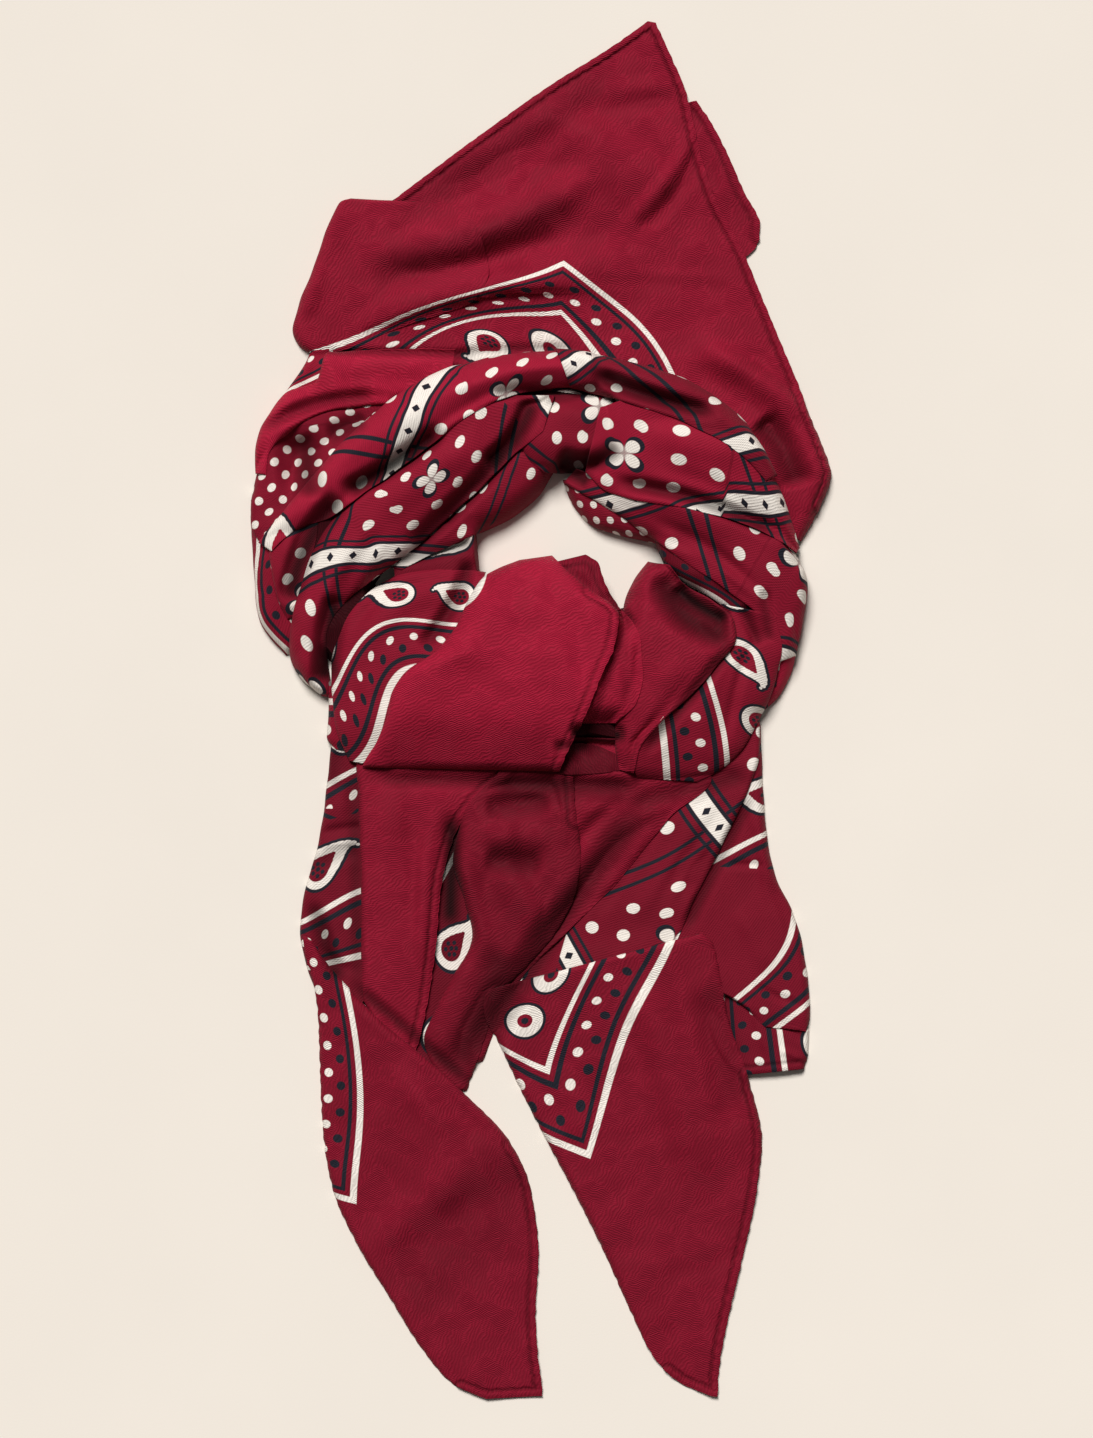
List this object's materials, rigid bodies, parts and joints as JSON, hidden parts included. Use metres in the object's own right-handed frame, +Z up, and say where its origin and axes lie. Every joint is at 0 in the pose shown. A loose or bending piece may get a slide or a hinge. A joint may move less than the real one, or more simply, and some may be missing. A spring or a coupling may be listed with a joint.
{
  "type": "bandana",
  "caption": "Large square cotton-silk bandana, folded corner to corner, wound into a neck loop with a soft knot and two pointed tails, lying flat.",
  "frame": {"origin": "middle of the bundle's outline, on the surface it lies on", "axes": "+X to the right of the laid-out bandana, +Y from the tails to the back corner, +Z up from the surface"},
  "size_m": [0.3852, 0.918, 0.0489],
  "materials": {
    "cloth": "fine woven, printed, soft sheen"
  },
  "bodies": {
    "root": {"back_point_under": "cloth", "back_point": "cloth", "back_shoulder_fold": "cloth", "wrap_left_corner": "cloth", "wrap_left_outer": "cloth", "wrap_left_pocket": "cloth", "wrap_left_plain": "cloth", "wrap_left_roll": "cloth", "wrap_left_inner": "cloth", "wrap_bulge": "cloth", "wrap_left_second": "cloth", "wrap_left_main": "cloth", "wrap_right_under": "cloth", "wrap_right_end": "cloth", "wrap_right_inner": "cloth", "wrap_right_lower": "cloth", "wrap_right_front": "cloth", "wrap_right_top": "cloth", "knot_left_edge": "cloth", "knot_left_strip": "cloth", "knot_left_band": "cloth", "knot_right_band": "cloth", "knot_under_roll": "cloth", "knot_right_lobe": "cloth", "knot_tongue": "cloth", "knot_flap": "cloth", "knot_left_lobe": "cloth", "tail_left_strip": "cloth", "tail_left_under": "cloth", "tail_left_panel": "cloth", "tail_right_under": "cloth", "tail_right_back": "cloth", "tail_right_print": "cloth", "tail_right_panel": "cloth", "tail_centre_panel": "cloth", "tail_right_end": "cloth", "tail_left_end": "cloth", "hidden_layers": "cloth"}
  },
  "joints": []
}
